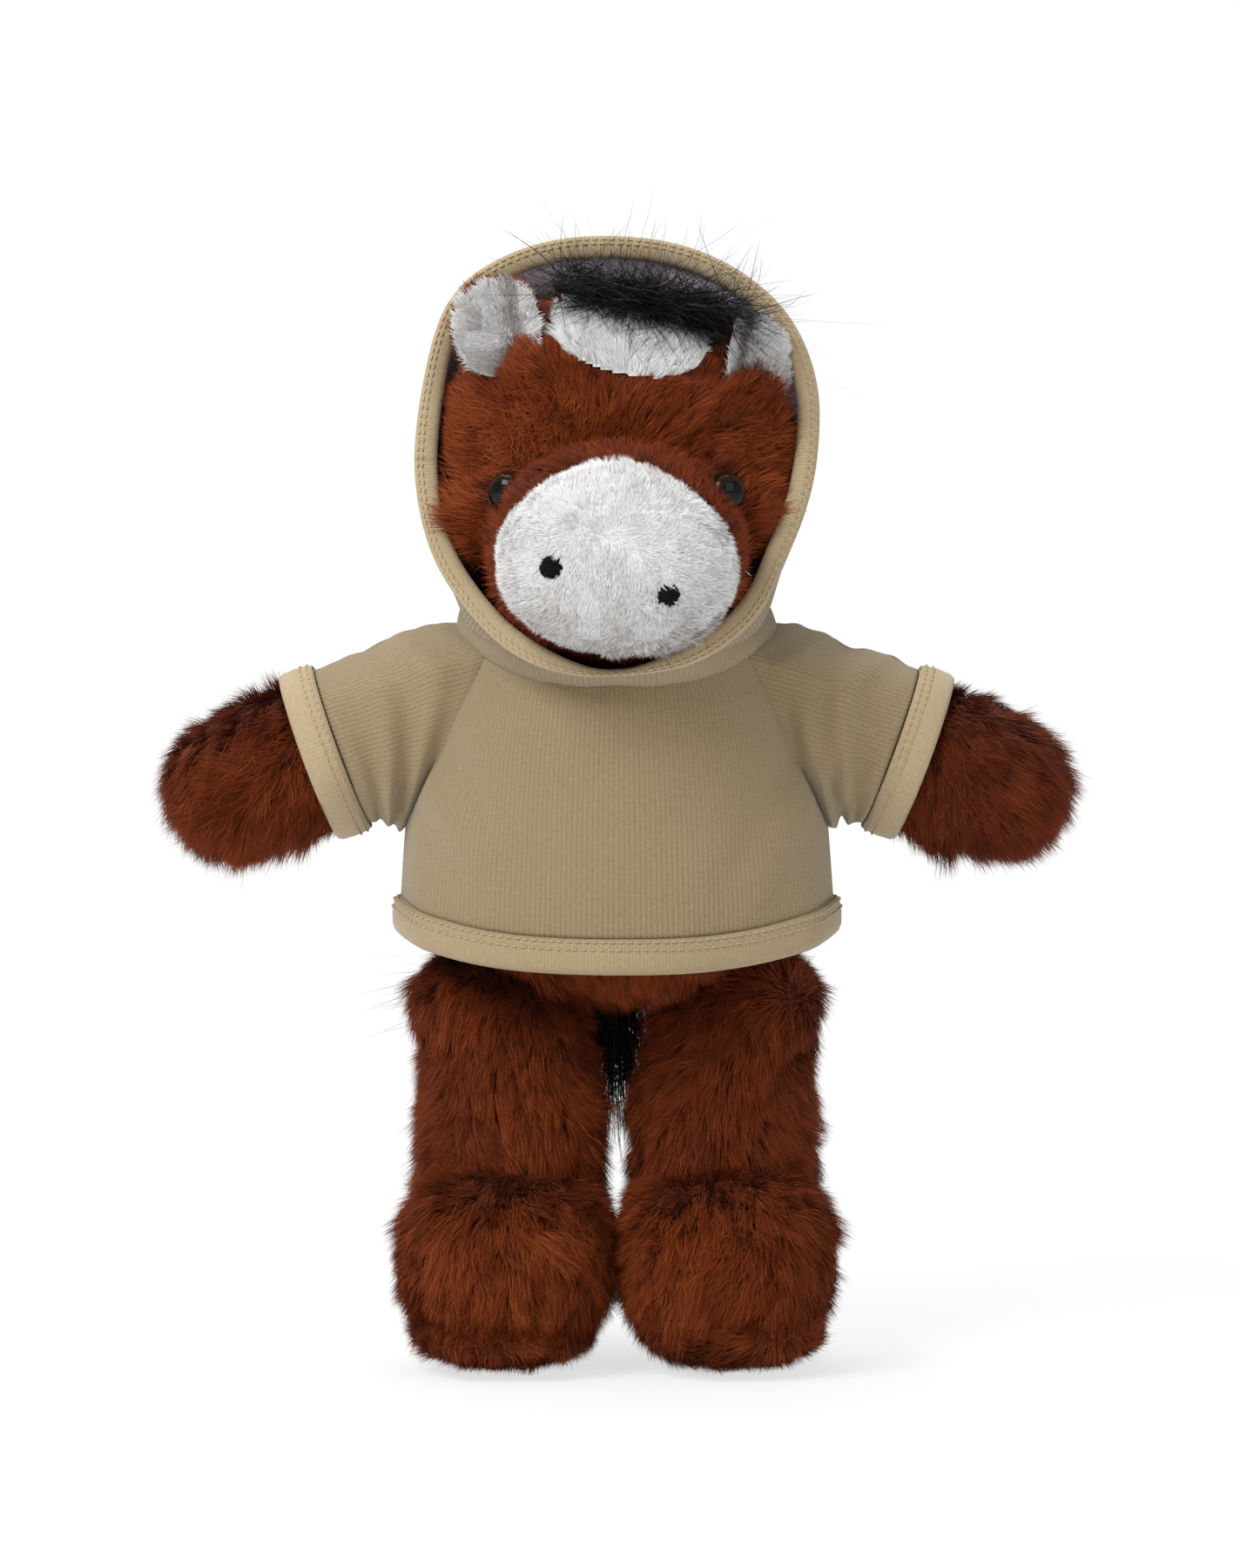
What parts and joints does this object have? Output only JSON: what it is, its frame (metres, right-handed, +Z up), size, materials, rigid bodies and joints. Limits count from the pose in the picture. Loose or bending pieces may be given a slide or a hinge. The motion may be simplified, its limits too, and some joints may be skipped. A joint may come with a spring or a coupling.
{
  "type": "plush horse",
  "caption": "Stuffed toy horse that stands upright in a hooded knit shirt, with a soft muzzle, a shaggy forelock and tail, and arms, legs, head and tail that turn",
  "frame": {"origin": "on the floor under the middle of the toy's box, halfway between the muzzle's front and the hood's back", "axes": "+Z up from the soles to the top of the hood, -Y is where the toy faces, +X is the toy's own left side"},
  "size_m": [0.2456, 0.1366, 0.3],
  "materials": {
    "brown_plush": "long-pile plush, matt",
    "white_plush": "short-pile plush, matt",
    "black_hair": "long synthetic hair, satin",
    "stuffing": "polyester fibre fill, matt",
    "eye_plastic": "polished",
    "washer_plastic": "moulded, matt",
    "black_thread": "embroidery thread, matt",
    "tan_jersey": "ribbed knit, matt",
    "grey_fleece": "napped knit, matt"
  },
  "bodies": {
    "torso": {"body_skin": "brown_plush", "body_stuffing": "stuffing", "shirt_front": "tan_jersey", "shirt_back": "tan_jersey", "shirt_hem": "tan_jersey", "sleeve_right": "tan_jersey", "sleeve_left": "tan_jersey", "hood_collar": "tan_jersey"},
    "neck": {"neck": "brown_plush"},
    "head": {"head_skin": "brown_plush", "head_stuffing": "stuffing", "muzzle": "white_plush", "eye_right": "eye_plastic", "eye_left": "eye_plastic", "eye_washer_right": "washer_plastic", "eye_washer_left": "washer_plastic", "nostril_right": "black_thread", "nostril_left": "black_thread", "blaze": "white_plush", "ear_right": "brown_plush", "ear_left": "brown_plush", "ear_lining_right": "white_plush", "ear_lining_left": "white_plush", "forelock": "black_hair", "hood_panel_right": "tan_jersey", "hood_panel_left": "tan_jersey", "hood_lining": "grey_fleece", "hood_rim": "tan_jersey"},
    "arm_right": {"arm_skin_right": "brown_plush", "arm_stuffing_right": "stuffing", "sleeve_cuff_right": "tan_jersey"},
    "arm_left": {"arm_skin_left": "brown_plush", "arm_stuffing_left": "stuffing", "sleeve_cuff_left": "tan_jersey"},
    "leg_right": {"leg_skin_right": "brown_plush", "leg_stuffing_right": "stuffing", "foot_right": "brown_plush", "sole_right": "brown_plush"},
    "leg_left": {"leg_skin_left": "brown_plush", "leg_stuffing_left": "stuffing", "foot_left": "brown_plush", "sole_left": "brown_plush"},
    "tail": {"tail": "black_hair"}
  },
  "joints": [
    {"name": "head_turn", "type": "hinge", "parent": "torso", "child": "neck", "pos_m": [0, 0.0128, 0.1925], "axis": [0, 0, 1], "range_deg": [-20, 20], "deforming": ["hood_collar"]},
    {"name": "head_nod", "type": "hinge", "parent": "neck", "child": "head", "pos_m": [0, 0.0128, 0.1925], "axis": [1, 0, 0], "range_deg": [-10, 3], "deforming": ["hood_collar"]},
    {"name": "arm_right_lift", "type": "hinge", "parent": "torso", "child": "arm_right", "pos_m": [-0.038, 0.0128, 0.178], "axis": [0, 1, 0], "range_deg": [-12, 28], "deforming": ["sleeve_right"]},
    {"name": "arm_left_lift", "type": "hinge", "parent": "torso", "child": "arm_left", "pos_m": [0.038, 0.0128, 0.178], "axis": [0, -1, 0], "range_deg": [-12, 28], "deforming": ["sleeve_left"]},
    {"name": "leg_right_swing", "type": "hinge", "parent": "torso", "child": "leg_right", "pos_m": [-0.0303, 0.0128, 0.088], "axis": [-1, 0, 0], "range_deg": [-15, 70]},
    {"name": "leg_left_swing", "type": "hinge", "parent": "torso", "child": "leg_left", "pos_m": [0.0303, 0.0128, 0.088], "axis": [-1, 0, 0], "range_deg": [-15, 70]},
    {"name": "tail_swing", "type": "hinge", "parent": "torso", "child": "tail", "pos_m": [0, 0.0458, 0.105], "axis": [1, 0, 0], "range_deg": [-5, 30]}
  ]
}
